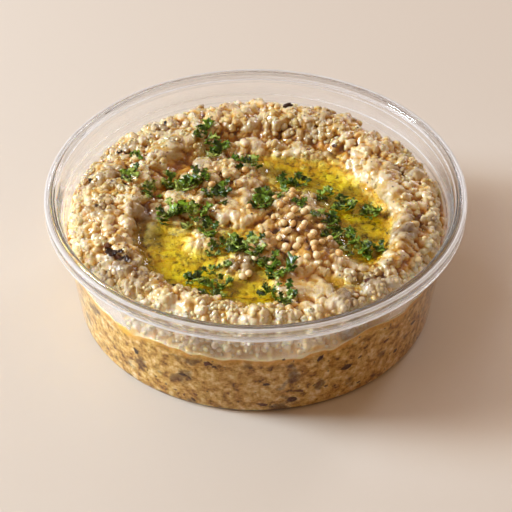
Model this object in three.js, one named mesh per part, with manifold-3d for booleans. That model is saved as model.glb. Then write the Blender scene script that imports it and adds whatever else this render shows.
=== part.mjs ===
// A clear round deli tub filled with baba ganoush: a rough, grainy aubergine dip heaped in a ring round a
// spooned basin, with pools of olive oil in the basin, toasted sesame seeds and torn parsley on top.
// Millimetres, +Z up. The origin is the centre of the tub's foot, and -Y is the side nearest the viewer.
import * as THREE from "three";
import { mergeVertices } from "three/addons/utils/BufferGeometryUtils.js";
import Module from "manifold-3d";

// Tub
const rimRadius = 59;
const rimHeight = 37.8;
const rimBandWidth = 3.1;
const skirtDrop = 4.2;
const footRadius = 49.1;
const footRecess = 0.6;
const footRingWidth = 5;
const wallThickness = 0.8;
const cornerRadius = 2.2;
const wallTopRadius = 54.1;
const wallTopHeight = 31.5;
const stepRadius = 55.1;
const stepHeight = 35.4;
const outsideDrop = 1.3;
const rimEdge = 0.4;
const tubSides = 64;

// Dip
const wallGap = 0.35;
const dipRings = 26;
const wallLineHeight = 27;
const wallLineSags = [
  { at: 268, halfWidth: 55, drop: 4.6 },
  { at: 226, halfWidth: 14, drop: 3 },
];
const basin = { x: 2, y: -8, radius: 33.4, floor: 29.2 };
const crest = { height: 34.3, backRise: 1, share: 0.46 };
const topLimit = 35.8;
const bumpCount = 300;
const bumpRadius = { least: 2.4, most: 4.4 };
const bumpHeight = 1.9;

// Oil
const oilLevel = 30.8;
const oilGap = 0.3;

// Toppings
const seedSize = { length: 2.7, width: 2.4, thickness: 1.9 };
const seedSink = 0.5;
const seedScatter = 1.2;
const leafThickness = 0.7;
const leafLobes = 6;
const leafRoot = 0.8;
const leafMargin = 0.6;

const degree = Math.PI / 180;
const goldenAngle = Math.PI * (3 - Math.sqrt(5));

// Sideways lumpiness of the basin's edge, the crest and the wall line.
const edgeWaves = { oval: 1.8, tilt: -0.6, lobes: 0.7 };
const crestWave = 0.5;
const wallWaves = { slow: 0.6, quick: 0.4 };

// Spoon strokes, as ridges and furrows (a negative rise) that wind about the basin's centre.
const strokes = [
  { from: 120, to: 176, startRadius: 41, endRadius: 36, rise: 3.2, halfWidth: 3.4 },
  { from: 108, to: 152, startRadius: 36.5, endRadius: 30.5, rise: -1.8, halfWidth: 3 },
  { from: 50, to: 112, startRadius: 39.5, endRadius: 40, rise: -2.8, halfWidth: 2.8 },
  { from: 58, to: 106, startRadius: 34.6, endRadius: 33, rise: 1.6, halfWidth: 2.8 },
  { from: -48, to: 46, startRadius: 38.2, endRadius: 37.6, rise: 2.2, halfWidth: 2.8 },
  { from: -34, to: 34, startRadius: 42.5, endRadius: 45, rise: -2.6, halfWidth: 2.6 },
  { from: -82, to: -56, startRadius: 31, endRadius: 31.5, rise: 2.6, halfWidth: 4 },
  { from: 168, to: 204, startRadius: 37, endRadius: 38.5, rise: 1.5, halfWidth: 2.4 },
];

// Lumps of dip that stand up out of the basin's floor.
const mounds = [
  { x: -16, y: 2.5, radius: 14.5, rise: 4.2 },
  { x: -17, y: 17, radius: 8, rise: 3 },
  { x: -6, y: 13, radius: 8, rise: 3.8 },
  { x: 9.5, y: -1.5, radius: 9, rise: 4.4 },
  { x: 13, y: -14, radius: 8.8, rise: 4.6 },
  { x: 18, y: -25, radius: 6.5, rise: 3.8 },
  { x: 27, y: -29, radius: 5.5, rise: 2.5 },
  { x: 9, y: -31, radius: 6, rise: 3.2 },
  { x: -4, y: -5, radius: 5, rise: 3.6 },
  { x: 2.5, y: -19, radius: 5, rise: 3 },
  { x: -5, y: -26, radius: 5.5, rise: 3.4 },
  { x: -14.5, y: -16.5, radius: 4.2, rise: 2.8 },
];

// Where sesame seeds were scattered: an oval patch each, turned by its angle.
const seedPatches = [
  { x: 12, y: -14, long: 13.5, wide: 7.5, turn: -58, count: 42 },
  { x: -12, y: 6, long: 12, wide: 6, turn: 25, count: 9 },
  { x: 0, y: -24, long: 8, wide: 4, turn: 60, count: 6 },
];

// Where the chopped parsley lies: a leaf each, with its size across and its turn.
const leafSpots = [
  { x: -16, y: 27, size: 8, turn: 20 },
  { x: -12, y: 21, size: 8, turn: -50 },
  { x: -6, y: 24, size: 6, turn: 5 },
  { x: -3, y: 14.5, size: 7, turn: 80 },
  { x: -25, y: 7.5, size: 7, turn: 30 },
  { x: -36, y: 6.5, size: 7, turn: 75 },
  { x: -29, y: 1, size: 6, turn: 10 },
  { x: -20, y: 5, size: 7, turn: -20 },
  { x: -15, y: 8, size: 6, turn: 55 },
  { x: -11, y: 1.5, size: 8, turn: 5 },
  { x: -25.5, y: -4, size: 8, turn: -70 },
  { x: -17, y: -5, size: 8, turn: 15 },
  { x: -13, y: -10.5, size: 6, turn: 60 },
  { x: 5.5, y: 2, size: 6, turn: -30 },
  { x: 2, y: -2.5, size: 7, turn: 40 },
  { x: 7, y: 9.5, size: 7, turn: -10 },
  { x: 13, y: 13, size: 6, turn: 25 },
  { x: 12.5, y: -3, size: 5, turn: 50 },
  { x: 26, y: 4.5, size: 8, turn: 65 },
  { x: 26, y: -1.5, size: 6, turn: 20 },
  { x: 32.5, y: -2, size: 7, turn: 15 },
  { x: 19, y: -8, size: 8, turn: -35 },
  { x: 24.5, y: -13, size: 7, turn: 20 },
  { x: 29.5, y: -17.5, size: 8, turn: 30 },
  { x: -4, y: -16.5, size: 7, turn: 0 },
  { x: 0.5, y: -19, size: 7, turn: 45 },
  { x: 4, y: -25, size: 8, turn: -45 },
  { x: 7, y: -30.5, size: 7, turn: 70 },
  { x: 8.5, y: -41, size: 7, turn: -35 },
  { x: -16, y: -30.5, size: 8, turn: 20 },
  { x: -11, y: -25, size: 6, turn: -15 },
  { x: -9, y: -35.5, size: 6, turn: 60 },
];

// A point in the middle of each pool of oil.
const poolPlaces = {
  oil_pool_right: [26, 0],
  oil_pool_left: [-14, -24],
};

const wasm = await Module();
wasm.setup();

// A repeatable draw between 0 and 1 for the n-th item of a kind.
function draw(n, kind) {
  const wave = Math.sin(n * 12.9898 + kind * 78.233) * 43758.5453;
  return wave - Math.floor(wave);
}

function smooth(low, high, value) {
  const t = Math.min(1, Math.max(0, (value - low) / (high - low)));
  return t * t * (3 - 2 * t);
}

// Radius of the tub's inner wall at a height above its corner.
function innerRadius(z) {
  const low = footRadius + cornerRadius - wallThickness;
  const share = (z - cornerRadius) / (wallTopHeight - cornerRadius);
  return low + (wallTopRadius - low) * share;
}

// Distance from the basin's centre to the tub's wall in a direction.
function reachToWall(turn) {
  const along = basin.x * Math.cos(turn) + basin.y * Math.sin(turn);
  const wall = innerRadius(wallLineHeight) - wallGap;
  return Math.sqrt(along ** 2 - basin.x ** 2 - basin.y ** 2 + wall ** 2) - along;
}

// Height at which the dip meets the wall, in a direction from the tub's centre.
function wallLine(turn) {
  let height = wallLineHeight + wallWaves.slow * Math.sin(5 * turn + 1);
  height += wallWaves.quick * Math.sin(11 * turn);
  for (const sag of wallLineSags) {
    const away = THREE.MathUtils.euclideanModulo(turn / degree - sag.at + 180, 360) - 180;
    height -= sag.drop * Math.exp(-((away / sag.halfWidth) ** 2));
  }
  return height;
}

function basinEdge(turn) {
  const wave = edgeWaves.oval * Math.cos(2 * turn) + edgeWaves.tilt * Math.sin(turn);
  return basin.radius + wave + edgeWaves.lobes * Math.sin(5 * turn + 2);
}

// Height that one spoon stroke adds.
function strokeRise(stroke, fromBasin, turn) {
  const middle = (stroke.from + stroke.to) / 2;
  const angle = THREE.MathUtils.euclideanModulo(turn / degree - middle + 180, 360) - 180 + middle;
  const share = (angle - stroke.from) / (stroke.to - stroke.from);
  const taper = smooth(-0.12, 0.15, share) * (1 - smooth(0.85, 1.12, share));
  const radius = THREE.MathUtils.lerp(stroke.startRadius, stroke.endRadius, share);
  return stroke.rise * taper * Math.exp(-(((fromBasin - radius) / stroke.halfWidth) ** 2));
}

// The ring, the basin and the spoon strokes, with no grain.
function formHeight(x, y) {
  const fromBasin = Math.hypot(x - basin.x, y - basin.y);
  const turn = Math.atan2(y - basin.y, x - basin.x);
  const tubTurn = Math.atan2(y, x);
  const edge = basinEdge(turn);
  const across = (fromBasin - edge) / (reachToWall(turn) - edge);
  const top = crest.height + crest.backRise * Math.sin(tubTurn) + crestWave * Math.sin(6 * tubTurn + 0.6);
  const fall = Math.max(0, (across - crest.share) / (1 - crest.share)) ** 2.3;
  let height = basin.floor + (top - basin.floor) * smooth(-0.16, crest.share, across);
  height -= (top - wallLine(tubTurn)) * fall;
  for (const stroke of strokes) height += strokeRise(stroke, fromBasin, turn) * (1 - Math.min(1, fall));
  for (const mound of mounds) {
    const away = ((x - mound.x) ** 2 + (y - mound.y) ** 2) / mound.radius ** 2;
    height += mound.rise * Math.exp(-away) * (1 - smooth(-0.1, 0.25, across));
  }
  return height;
}

// Bumps of grain, spread evenly by the golden angle.
const bumps = Array.from({ length: bumpCount }, (_, i) => {
  const radius = 51.5 * Math.sqrt((i + 0.5) / bumpCount);
  const turn = i * goldenAngle;
  return {
    x: radius * Math.cos(turn) + 2 * (draw(i, 1) - 0.5),
    y: radius * Math.sin(turn) + 2 * (draw(i, 2) - 0.5),
    radius: THREE.MathUtils.lerp(bumpRadius.least, bumpRadius.most, draw(i, 3)),
    rise: bumpHeight * (0.5 + draw(i, 4)),
  };
});

function bumpRise(x, y) {
  let rise = 0;
  for (const bump of bumps) {
    const away = ((x - bump.x) ** 2 + (y - bump.y) ** 2) / bump.radius ** 2;
    if (away < 1) rise = Math.max(rise, bump.rise * (1 - away));
  }
  return rise;
}

// The dip's surface. Grain is low under the oil, dies out at the tub's wall, and stays under the rim.
function dipHeight(x, y) {
  const form = formHeight(x, y);
  const dry = 0.2 + 0.8 * smooth(oilLevel - 0.6, oilLevel + 2.2, form);
  const clear = 1 - smooth(49.5, 52.5, Math.hypot(x, y));
  const height = form + (bumpRise(x, y) - 0.4 * bumpHeight) * dry * clear;
  return height < topLimit ? height : topLimit + 0.4 * (height - topLimit);
}

// The height that something lying on the dip rests at: its highest point nearby.
function restHeight(x, y) {
  const reach = 1.1;
  const spots = [[0, 0], [reach, 0], [-reach, 0], [0, reach], [0, -reach]];
  return Math.max(...spots.map(([dx, dy]) => dipHeight(x + dx, y + dy)));
}

// A closed BufferGeometry as a solid that can be joined and cut.
function toSolid(geometry) {
  const bare = geometry.clone();
  bare.deleteAttribute("normal");
  bare.deleteAttribute("uv");
  const merged = mergeVertices(bare, 1e-4);
  const vertProperties = new Float32Array(merged.attributes.position.array);
  const triVerts = new Uint32Array(merged.index.array);
  return new wasm.Manifold(new wasm.Mesh({ numProp: 3, vertProperties, triVerts }));
}

function toGeometry(solid) {
  const mesh = solid.getMesh();
  const geometry = new THREE.BufferGeometry();
  geometry.setAttribute("position", new THREE.BufferAttribute(mesh.vertProperties, 3));
  geometry.setIndex(new THREE.BufferAttribute(mesh.triVerts, 1));
  geometry.computeVertexNormals();
  return geometry;
}

function indexedGeometry(positions, faces) {
  const geometry = new THREE.BufferGeometry();
  geometry.setAttribute("position", new THREE.Float32BufferAttribute(positions, 3));
  geometry.setIndex(faces);
  return geometry;
}

// The tub's section, from the middle of its underside, out and up over the rim, and back down inside.
function tubGeometry() {
  const points = [];
  const add = (radius, height) => points.push(new THREE.Vector2(radius, height));
  const corner = (radius, angles) => {
    for (const angle of angles) {
      add(footRadius + radius * Math.cos(angle * degree), cornerRadius + radius * Math.sin(angle * degree));
    }
  };
  const ringInside = footRadius - footRingWidth;
  const bandInside = rimRadius - rimBandWidth;
  add(0, footRecess);
  add(ringInside - footRecess, footRecess);
  add(ringInside, 0);
  corner(cornerRadius, [-90, -45, 0]);
  add(wallTopRadius + wallThickness, wallTopHeight - outsideDrop);
  add(stepRadius + wallThickness, stepHeight - outsideDrop);
  add(bandInside + wallThickness, rimHeight - wallThickness - rimEdge);
  add(rimRadius - wallThickness, rimHeight - wallThickness);
  add(rimRadius - wallThickness, rimHeight - skirtDrop);
  add(rimRadius, rimHeight - skirtDrop);
  add(rimRadius, rimHeight - rimEdge);
  add(rimRadius - rimEdge, rimHeight);
  add(bandInside, rimHeight - rimEdge);
  add(stepRadius, stepHeight);
  add(wallTopRadius, wallTopHeight);
  corner(cornerRadius - wallThickness, [0, -45, -90]);
  add(ringInside, wallThickness);
  add(ringInside - footRecess, wallThickness + footRecess);
  add(0, wallThickness + footRecess);
  return new THREE.LatheGeometry(points, tubSides).rotateX(Math.PI / 2);
}

// The bare dip: a disc of rings, each with six more points than the last, over a side that follows the tub.
function dipCore() {
  const positions = [0, 0, dipHeight(0, 0)];
  const faces = [];
  const rim = 6 * dipRings;
  const firstOf = (ring) => 1 + 3 * ring * (ring - 1);
  const at = (ring, i) => (ring === 0 ? 0 : firstOf(ring) + (i % (6 * ring)));
  for (let ring = 1; ring <= dipRings; ring++) {
    for (let i = 0; i < 6 * ring; i++) {
      const turn = (i / (6 * ring)) * 2 * Math.PI;
      const level = wallLine(turn);
      const radius = ((innerRadius(level) - wallGap) * ring) / dipRings;
      const x = radius * Math.cos(turn);
      const y = radius * Math.sin(turn);
      positions.push(x, y, ring === dipRings ? level : Math.max(level, dipHeight(x, y)));
    }
    for (let sector = 0; sector < 6; sector++) {
      for (let i = 0; i < ring; i++) {
        const outer = sector * ring + i;
        const inner = sector * (ring - 1) + i;
        faces.push(at(ring, outer), at(ring, outer + 1), at(ring - 1, inner));
        if (i < ring - 1) faces.push(at(ring, outer + 1), at(ring - 1, inner + 1), at(ring - 1, inner));
      }
    }
  }
  // The side, from the wall line down to the tub's floor, and the underside.
  const cornerInside = cornerRadius - wallThickness - wallGap;
  const rows = [0, -90].map((angle) => ({
    radius: footRadius + cornerInside * Math.cos(angle * degree),
    height: cornerRadius + cornerInside * Math.sin(angle * degree),
  }));
  rows.push({ radius: footRadius - footRingWidth - 1, height: wallThickness + footRecess + wallGap });
  let above = firstOf(dipRings);
  for (const row of rows) {
    const first = positions.length / 3;
    for (let i = 0; i < rim; i++) {
      const turn = (i / rim) * 2 * Math.PI;
      positions.push(row.radius * Math.cos(turn), row.radius * Math.sin(turn), row.height);
    }
    for (let i = 0; i < rim; i++) {
      const next = (i + 1) % rim;
      faces.push(above + i, first + i, first + next, above + i, first + next, above + next);
    }
    above = first;
  }
  const middle = positions.length / 3;
  positions.push(0, 0, rows.at(-1).height);
  for (let i = 0; i < rim; i++) faces.push(above + i, middle, above + ((i + 1) % rim));
  return toSolid(indexedGeometry(positions, faces));
}

function seedSolids() {
  const seeds = [];
  for (const [kind, patch] of seedPatches.entries()) {
    for (let i = 0; i < patch.count; i++) {
      const radius = Math.sqrt((i + 0.5) / patch.count);
      const turn = i * goldenAngle;
      const along = radius * patch.long * Math.cos(turn) + seedScatter * (draw(i, kind + 5) - 0.5);
      const aside = radius * patch.wide * Math.sin(turn) + seedScatter * (draw(i, kind + 9) - 0.5);
      const lean = patch.turn * degree;
      const x = patch.x + along * Math.cos(lean) - aside * Math.sin(lean);
      const y = patch.y + along * Math.sin(lean) + aside * Math.cos(lean);
      const bottom = dipHeight(x, y) - seedSink;
      if (bottom < oilLevel + oilGap) continue;
      const seed = new THREE.IcosahedronGeometry(0.5, 0);
      seed.scale(seedSize.length, seedSize.width, seedSize.thickness).rotateZ(7 * draw(i, kind + 13));
      seeds.push(toSolid(seed.translate(x, y, bottom + seedSize.thickness / 2)));
    }
  }
  return seeds;
}

// A thin wavy leaf with uneven lobes, both faces split alike, over the heights that a surface gives.
function leafSolid(spot, kind, surface, middle) {
  const outline = 2 * leafLobes;
  const positions = [];
  const faces = [];
  for (const side of [1, 0]) {
    for (let i = 0; i < outline; i++) {
      const turn = (i / outline) * 2 * Math.PI + spot.turn * degree;
      const share = i % 2 ? 0.5 + 0.25 * draw(i, kind) : 0.8 + 0.3 * draw(i, kind);
      const x = spot.x + (spot.size / 2) * share * Math.cos(turn);
      const y = spot.y + (spot.size / 2) * share * Math.sin(turn);
      const wave = 0.35 + 0.35 * Math.sin(2 * turn + kind);
      positions.push(x, y, surface(x, y) + wave + leafThickness * side);
    }
    positions.push(spot.x, spot.y, side ? surface(spot.x, spot.y) + leafThickness : middle);
  }
  const under = outline + 1;
  for (let i = 0; i < outline; i++) {
    const next = (i + 1) % outline;
    faces.push(outline, i, next, under + outline, under + next, under + i);
    faces.push(i, under + i, under + next, i, under + next, next);
  }
  return toSolid(indexedGeometry(positions, faces));
}

// The leaves: those with a root in the dip arch over the oil, and those in the open float on it.
function leafSolids() {
  const rooted = [];
  const afloat = [];
  for (const [kind, spot] of leafSpots.entries()) {
    const edge = spot.size / 2 + leafMargin;
    const round = Array.from({ length: 12 }, (_, i) => {
      return dipHeight(spot.x + edge * Math.cos(i / 2), spot.y + edge * Math.sin(i / 2));
    });
    const middle = dipHeight(spot.x, spot.y) - leafRoot;
    if (middle > oilLevel + oilGap || Math.min(...round) > oilLevel + oilGap) {
      const above = (x, y) => Math.max(restHeight(x, y), oilLevel + oilGap);
      rooted.push(leafSolid(spot, kind, above, middle));
    } else if (Math.max(...round) < oilLevel) {
      afloat.push(leafSolid(spot, kind, () => oilLevel - 0.2, oilLevel - 0.4));
    }
  }
  return { rooted, afloat };
}

// What lies level in the basin above the dip, a solid for each pool, with the leaves that float on it.
function oilPools(core, leaves) {
  const outline = Array.from({ length: 72 }, (_, i) => {
    const turn = (i / 72) * 2 * Math.PI;
    const reach = basinEdge(turn) + 3;
    return new THREE.Vector2(basin.x + reach * Math.cos(turn), basin.y + reach * Math.sin(turn));
  });
  const depth = 5;
  const slab = new THREE.ExtrudeGeometry(new THREE.Shape(outline), { depth, bevelEnabled: false });
  const filled = wasm.Manifold.union([toSolid(slab.translate(0, 0, oilLevel - depth)), ...leaves]);
  const pieces = filled.subtract(core.translate([0, 0, oilGap])).decompose();
  pieces.sort((a, b) => b.volume() - a.volume());
  const fromPoint = (piece, [x, y]) => {
    const { min, max } = piece.boundingBox();
    return Math.hypot((min[0] + max[0]) / 2 - x, (min[1] + max[1]) / 2 - y);
  };
  const pools = pieces.slice(0, 2);
  return Object.entries(poolPlaces).map(([name, point]) => {
    return [name, pools.reduce((a, b) => (fromPoint(a, point) < fromPoint(b, point) ? a : b))];
  });
}

// Joins solids to a core and keeps the one body that the core belongs to.
function fuse(core, solids) {
  const pieces = wasm.Manifold.union([core, ...solids]).decompose();
  return pieces.sort((a, b) => b.volume() - a.volume())[0];
}

const tubMaterial = new THREE.MeshStandardMaterial({
  color: 0xf1eeea,
  roughness: 0.12,
  metalness: 0,
  transparent: true,
  opacity: 0.3,
});
const dipMaterial = new THREE.MeshStandardMaterial({ color: 0xcdb78e, roughness: 0.4, metalness: 0 });
const oilMaterial = new THREE.MeshStandardMaterial({ color: 0xb79a1c, roughness: 0.08, metalness: 0 });

const group = new THREE.Group();
function place(name, geometry, material) {
  const mesh = new THREE.Mesh(geometry, material);
  mesh.name = name;
  group.add(mesh);
}

const core = dipCore();
const leaves = leafSolids();
place("tub", tubGeometry(), tubMaterial);
place("dip", toGeometry(fuse(core, [...seedSolids(), ...leaves.rooted])), dipMaterial);
for (const [name, pool] of oilPools(core, leaves.afloat)) place(name, toGeometry(pool), oilMaterial);

export default group;
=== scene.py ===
import math
from functools import partial

import bpy
import numpy as np
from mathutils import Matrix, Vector


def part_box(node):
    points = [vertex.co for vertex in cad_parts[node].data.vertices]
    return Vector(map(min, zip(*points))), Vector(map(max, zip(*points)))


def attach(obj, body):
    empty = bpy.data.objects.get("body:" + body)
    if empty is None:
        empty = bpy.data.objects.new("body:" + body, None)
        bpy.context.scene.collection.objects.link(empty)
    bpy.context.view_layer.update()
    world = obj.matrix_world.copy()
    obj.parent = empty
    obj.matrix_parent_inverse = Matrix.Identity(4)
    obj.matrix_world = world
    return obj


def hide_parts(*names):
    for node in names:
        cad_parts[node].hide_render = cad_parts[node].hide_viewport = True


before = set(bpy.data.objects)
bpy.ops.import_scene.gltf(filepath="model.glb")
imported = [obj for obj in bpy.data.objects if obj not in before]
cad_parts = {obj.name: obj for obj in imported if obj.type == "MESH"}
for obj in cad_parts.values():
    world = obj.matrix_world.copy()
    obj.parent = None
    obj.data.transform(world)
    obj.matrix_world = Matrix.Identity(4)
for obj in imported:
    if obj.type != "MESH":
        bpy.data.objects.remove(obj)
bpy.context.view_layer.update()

mm = 0.001  # metres in a millimetre
goldenAngle = math.pi * (3 - math.sqrt(5))


# Helpers

def smooth(low, high, value):
    # Eased step: 3t^2 - 2t^3 of how far value is from low to high.
    t = np.clip((value - low) / (high - low), 0, 1)
    return t * t * (3 - 2 * t)


def mix(a, b, share):
    # The value a share of the way from a to b.
    return a + (b - a) * share


def draw(n, kind):
    # A repeatable draw between 0 and 1: the fraction of a steep sine of the number and its kind.
    wave = np.sin(n * 12.9898 + kind * 78.233) * 43758.5453
    return wave - np.floor(wave)


def cellDraw(column, row, kind):
    # A repeatable draw between 0 and 1 for each cell of a grid.
    wave = np.sin(column * 127.1 + row * 311.7 + kind * 74.7) * 43758.5453
    return wave - np.floor(wave)


def noise(x, y, size, kind):
    # Value noise from -1 to 1: a draw at each corner of a grid of that size, eased between corners.
    u, v = x / size, y / size
    column, row = np.floor(u), np.floor(v)
    s, t = smooth(0, 1, u - column), smooth(0, 1, v - row)
    low = mix(cellDraw(column, row, kind), cellDraw(column + 1, row, kind), s)
    high = mix(cellDraw(column, row + 1, kind), cellDraw(column + 1, row + 1, kind), s)
    return 2 * mix(low, high, t) - 1


def bell(x, y, atX, atY, radius):
    # 1 at a place, and e^-(d/radius)^2 at d from it.
    return np.exp(-((x - atX) ** 2 + (y - atY) ** 2) / radius ** 2)


def waved(base, turn, waves):
    # A base with sine waves added round a circle, each as (waves a turn, height, start in radians).
    for count, height, start in waves:
        base = base + height * np.sin(count * turn + start)
    return base


def circled(radius, turn, z):
    # Points round the Z axis from radii, turns and heights.
    x, y, z = np.broadcast_arrays(radius * np.cos(turn), radius * np.sin(turn), z)
    return np.stack([x, y, z], axis=-1)


def frontness(turn):
    # 1 on the side towards the camera, easing to 0 before the left and the right.
    return smooth(0.3, 0.8, -np.sin(turn))


def turnFrom(angle, middle):
    # Degrees from a middle, wrapped to half a turn each way.
    return (np.degrees(angle) - middle + 180) % 360 - 180


def grains(x, y, spacing, reach, kind):
    # Round grains, one to a cell of a loose grid. A grain of radius R rises R (1 - d^2)^0.7 at d radii from
    # its middle, and the highest one at a point counts. Gives that rise and the grain's own draw.
    warpX = x + 0.35 * spacing * noise(x, y, 3 * spacing, kind + 0.3)
    warpY = y + 0.35 * spacing * noise(x, y, 3 * spacing, kind + 0.6)
    column, row = np.floor(warpX / spacing), np.floor(warpY / spacing)
    best = np.zeros_like(x)
    own = np.zeros_like(x)
    for stepX in (-1, 0, 1):
        for stepY in (-1, 0, 1):
            cellX, cellY = column + stepX, row + stepY
            middleX = (cellX + 0.5 + 0.8 * (cellDraw(cellX, cellY, kind) - 0.5)) * spacing
            middleY = (cellY + 0.5 + 0.8 * (cellDraw(cellX, cellY, kind + 1) - 0.5)) * spacing
            which = cellDraw(cellX, cellY, kind + 2)
            radius = spacing * mix(reach[0], reach[1], which)
            away = ((warpX - middleX) ** 2 + (warpY - middleY) ** 2) / radius ** 2
            rise = radius * np.clip(1 - away, 0, 1) ** 0.7
            higher = rise > best
            best = np.where(higher, rise, best)
            own = np.where(higher, which, own)
    return best, own


def makePiece(name, points, faces, materials, values=None, slots=None):
    # A smooth mesh object from points in millimetres, arrays of faces (one array for each number of corners),
    # one number a point for each named value, and each face's place in the list of materials.
    mesh = bpy.data.meshes.new(name)
    corners = np.concatenate([part.ravel() for part in faces])
    sizes = np.concatenate([np.full(len(part), part.shape[1]) for part in faces])
    mesh.vertices.add(len(points))
    mesh.vertices.foreach_set("co", (np.asarray(points, float) * mm).ravel())
    mesh.loops.add(len(corners))
    mesh.loops.foreach_set("vertex_index", corners.astype(np.int32))
    mesh.polygons.add(len(sizes))
    mesh.polygons.foreach_set("loop_start", (np.cumsum(sizes) - sizes).astype(np.int32))
    mesh.update(calc_edges=True)
    mesh.validate()
    mesh.shade_smooth()
    for key, numbers in (values or {}).items():
        mesh.attributes.new(key, "FLOAT", "POINT").data.foreach_set("value", np.asarray(numbers, np.float32))
    piece = bpy.data.objects.new(name, mesh)
    bpy.context.collection.objects.link(piece)
    for material in materials:
        mesh.materials.append(material)
    if slots is not None:
        mesh.polygons.foreach_set("material_index", np.asarray(slots, np.int32))
    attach(piece, "root")
    print(f"{name}: {len(mesh.vertices)} points, {len(mesh.polygons)} faces")
    return piece


def closedSlab(count, quads):
    # Faces of a sheet of quads over a lower copy of itself, with quads joining every open edge.
    starts, ends = quads, np.roll(quads, -1, axis=1)
    there = (starts * count + ends).ravel()
    back = (ends * count + starts).ravel()
    lone = ~np.isin(back, there)
    a, b = starts.ravel()[lone], ends.ravel()[lone]
    return [quads, quads[:, ::-1] + count, np.stack([b, a, a + count, b + count], axis=1)]


def ringFaces(rows, sides, start=0):
    # Quads between rings of points, each ring closed on itself.
    i = np.arange(sides)
    after = (i + 1) % sides
    row = start + np.arange(rows - 1)[:, None] * sides
    return np.stack([row + i, row + sides + i, row + sides + after, row + after], axis=2).reshape(-1, 4)


def fanFaces(ring, tip):
    # Triangles from a closed ring of points to one point.
    return np.stack([ring, np.roll(ring, -1), np.full(len(ring), tip)], axis=1)


def ball(sides, rows):
    # A unit ball on a grid of turn and latitude, from its north pole down, with a single point at each pole.
    lean = np.linspace(0, math.pi, rows + 1)[1:-1]
    turn = np.arange(sides) * 2 * math.pi / sides
    lean, turn = np.meshgrid(lean, turn, indexing="ij")
    ring = circled(np.sin(lean), turn, np.cos(lean)).reshape(-1, 3)
    points = np.concatenate([ring, [[0, 0, 1], [0, 0, -1]]])
    i = np.arange(sides)
    south = len(points) - 1
    return points, [ringFaces(rows - 1, sides), fanFaces(i, south - 1),
                    fanFaces((rows - 2) * sides + i[::-1], south)]


def turnsAbout(lean, heading, spin):
    # Rotation matrices, one an item: a spin about its own axis, then a lean from upright towards a heading.
    def about(axis, angle):
        c, s = np.cos(angle), np.sin(angle)
        one, nil = np.ones_like(c), np.zeros_like(c)
        rows = {"z": [[c, -s, nil], [s, c, nil], [nil, nil, one]],
                "y": [[c, nil, s], [nil, one, nil], [-s, nil, c]]}
        return np.moveaxis(np.array(rows[axis]), 2, 0)
    return about("z", heading) @ about("y", lean) @ about("z", spin)


def scatter(shape, faces, places, turns):
    # Copies of a shape: shape is items x points x 3, turned by a matrix each and moved to its place.
    items, count = shape.shape[:2]
    points = np.einsum("nij,nkj->nki", turns, shape) + places[:, None, :]
    start = np.arange(items)[:, None, None] * count
    return points.reshape(-1, 3), [(part[None] + start).reshape(-1, part.shape[1]) for part in faces]


def hexColor(code):
    # sRGB hex to the linear colour that shaders take.
    channels = [int(code[i:i + 2], 16) / 255 for i in (1, 3, 5)]
    return [c / 12.92 if c <= 0.04045 else ((c + 0.055) / 1.055) ** 2.4 for c in channels] + [1]


def scaleFor(size):
    # A pattern's scale, from the size of its features in millimetres.
    return 1 / (size * mm)


colorMix = {"data_type": "RGBA"}  # with inputs 0 for the share, 6 and 7 for the two colours
colorMultiply = {"data_type": "RGBA", "blend_type": "MULTIPLY"}


def addNode(tree, kind, inputs=(), stops=(), **settings):
    # One shader node with its settings, its inputs in a list or by name or number, and a colour ramp's stops
    # as (position, hex colour). An input is a number, a hex colour, a socket, or a node whose first output
    # in use is linked.
    node = tree.nodes.new("ShaderNode" + kind)
    for key, value in settings.items():
        setattr(node, key, value)
    for key, value in inputs.items() if isinstance(inputs, dict) else enumerate(inputs):
        if isinstance(value, bpy.types.Node):
            value = next(socket for socket in value.outputs if socket.enabled)
        if isinstance(value, bpy.types.NodeSocket):
            tree.links.new(value, node.inputs[key])
        else:
            node.inputs[key].default_value = hexColor(value) if isinstance(value, str) else value
    for i, (position, code) in enumerate(stops):
        elements = node.color_ramp.elements
        element = elements[i] if i < len(elements) else elements.new(position)
        element.position = position
        element.color = hexColor(code)
    return node


def newMaterial(name):
    # An empty material, and the function that adds a node to it.
    material = bpy.data.materials.new(name)
    material.use_nodes = True
    material.node_tree.nodes.clear()
    return material, partial(addNode, material.node_tree)


# Camera, floor and light

_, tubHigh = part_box("tub")

view = {"distance": 500, "aim": 20, "elevation": 39.71, "focal": 122.8, "shiftX": 0.0006, "shiftY": -0.0383}

light = {
    "sky": [(0.5, "#7E5F42"), (0.62, "#9E7A57"), (1, "#DDB68F")],  # from the horizon, 0.5, to straight up, 1
    "skyStrength": 0.8,
    "lamps": [  # place and size in mm, power in watts
        {"name": "keyWindow", "at": (-962, 50, 606), "size": 360, "power": 19.4, "color": "#E9F6FF"},
        {"name": "backStrip", "at": (500, 700, 420), "size": 240, "power": 1.6, "color": "#F4F6FF"},
    ],
}

table = {"color": "#D3CAC0", "roughness": 0.65, "halfSize": 1600, "drop": 0.1}


def makeCamera():
    # Its distance back along its line of sight from a point on the tub's axis.
    camera = bpy.data.objects.new("camera", bpy.data.cameras.new("camera"))
    lean = math.radians(view["elevation"])
    back = Vector((0, -math.cos(lean), math.sin(lean)))
    camera.location = (Vector((0, 0, view["aim"])) + back * view["distance"]) * mm
    camera.rotation_euler = (-back).to_track_quat("-Z", "Y").to_euler()
    camera.data.sensor_width = 36
    camera.data.lens = view["focal"]
    camera.data.shift_x = view["shiftX"]
    camera.data.shift_y = view["shiftY"]
    camera.data.clip_start = 10 * mm
    bpy.context.collection.objects.link(camera)
    bpy.context.scene.camera = camera


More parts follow.
